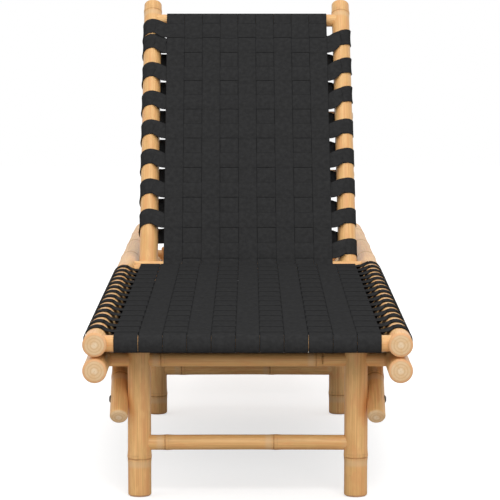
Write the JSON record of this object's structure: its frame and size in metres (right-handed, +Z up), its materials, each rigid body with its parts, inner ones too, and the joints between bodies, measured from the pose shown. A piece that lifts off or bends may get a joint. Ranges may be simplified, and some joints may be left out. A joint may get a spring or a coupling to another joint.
{
  "type": "sun lounger",
  "caption": "Bamboo sun lounger with double side rails, woven dark webbing seat and a reclining woven backrest on a folding prop.",
  "frame": {"origin": "on the ground, under the middle of the side rails", "axes": "+Z up, +Y from the foot end towards the head end, +X to the right seen from the foot end"},
  "size_m": [0.5544, 2.22, 0.8478],
  "materials": {
    "bamboo": "clear satin lacquer",
    "webbing": "matte flat webbing",
    "fasteners": "dark satin"
  },
  "bodies": {
    "frame": {"base_rail_left": "bamboo", "base_rail_right": "bamboo", "front_brace_left": "bamboo", "front_brace_leg_bolt_left": "fasteners", "front_brace_leg_bolt_right": "fasteners", "front_brace_rail_bolt_left": "fasteners", "front_brace_rail_bolt_right": "fasteners", "front_brace_right": "bamboo", "front_cross_bar": "bamboo", "front_leg_left": "bamboo", "front_leg_right": "bamboo", "front_stretcher": "bamboo", "head_brace_left": "bamboo", "head_brace_leg_bolt_left": "fasteners", "head_brace_leg_bolt_right": "fasteners", "head_brace_rail_bolt_left": "fasteners", "head_brace_rail_bolt_right": "fasteners", "head_brace_right": "bamboo", "head_cross_bar": "bamboo", "head_leg_left": "bamboo", "head_leg_right": "bamboo", "head_stretcher": "bamboo", "middle_cross_bar": "bamboo", "middle_leg_left": "bamboo", "middle_leg_right": "bamboo", "middle_stretcher": "bamboo", "rack_lath_left": "bamboo", "rack_lath_right": "bamboo", "rack_stop_left": "bamboo", "rack_stop_right": "bamboo", "rail_dowel_left_1": "bamboo", "rail_dowel_left_2": "bamboo", "rail_dowel_right_1": "bamboo", "rail_dowel_right_2": "bamboo", "seat_front_bar": "bamboo", "seat_rail_left": "bamboo", "seat_rail_right": "bamboo", "seat_rear_bar": "bamboo", "seat_warp_strap": "webbing", "seat_weft_strap": "webbing"},
    "backrest": {"backrest_pivot_bar": "bamboo", "backrest_pole_left": "bamboo", "backrest_pole_right": "bamboo", "backrest_stiffener": "bamboo", "backrest_top_rail": "bamboo", "backrest_warp_strap": "webbing", "backrest_weft_strap": "webbing", "pivot_screw_left": "fasteners", "pivot_screw_right": "fasteners", "prop_staple_left": "fasteners", "prop_staple_right": "fasteners", "stiffener_staple_left": "fasteners", "stiffener_staple_right": "fasteners"},
    "prop": {"prop_hinge_bar": "bamboo", "prop_foot_bar": "bamboo", "prop_leg_left": "bamboo", "prop_leg_right": "bamboo"}
  },
  "joints": [
    {"name": "backrest_hinge", "type": "hinge", "parent": "frame", "child": "backrest", "pos_m": [0, 0.2027, 0.28], "axis": [1, 0, 0], "range_deg": [-46, 0]},
    {"name": "prop_hinge", "type": "hinge", "parent": "backrest", "child": "prop", "pos_m": [0, 0.40752, 0.46275], "axis": [1, 0, 0], "range_deg": [0, 82.7]}
  ],
  "couplings": [
    {"joint": "prop_hinge", "follows": "backrest_hinge", "ratio": -1.796}
  ]
}
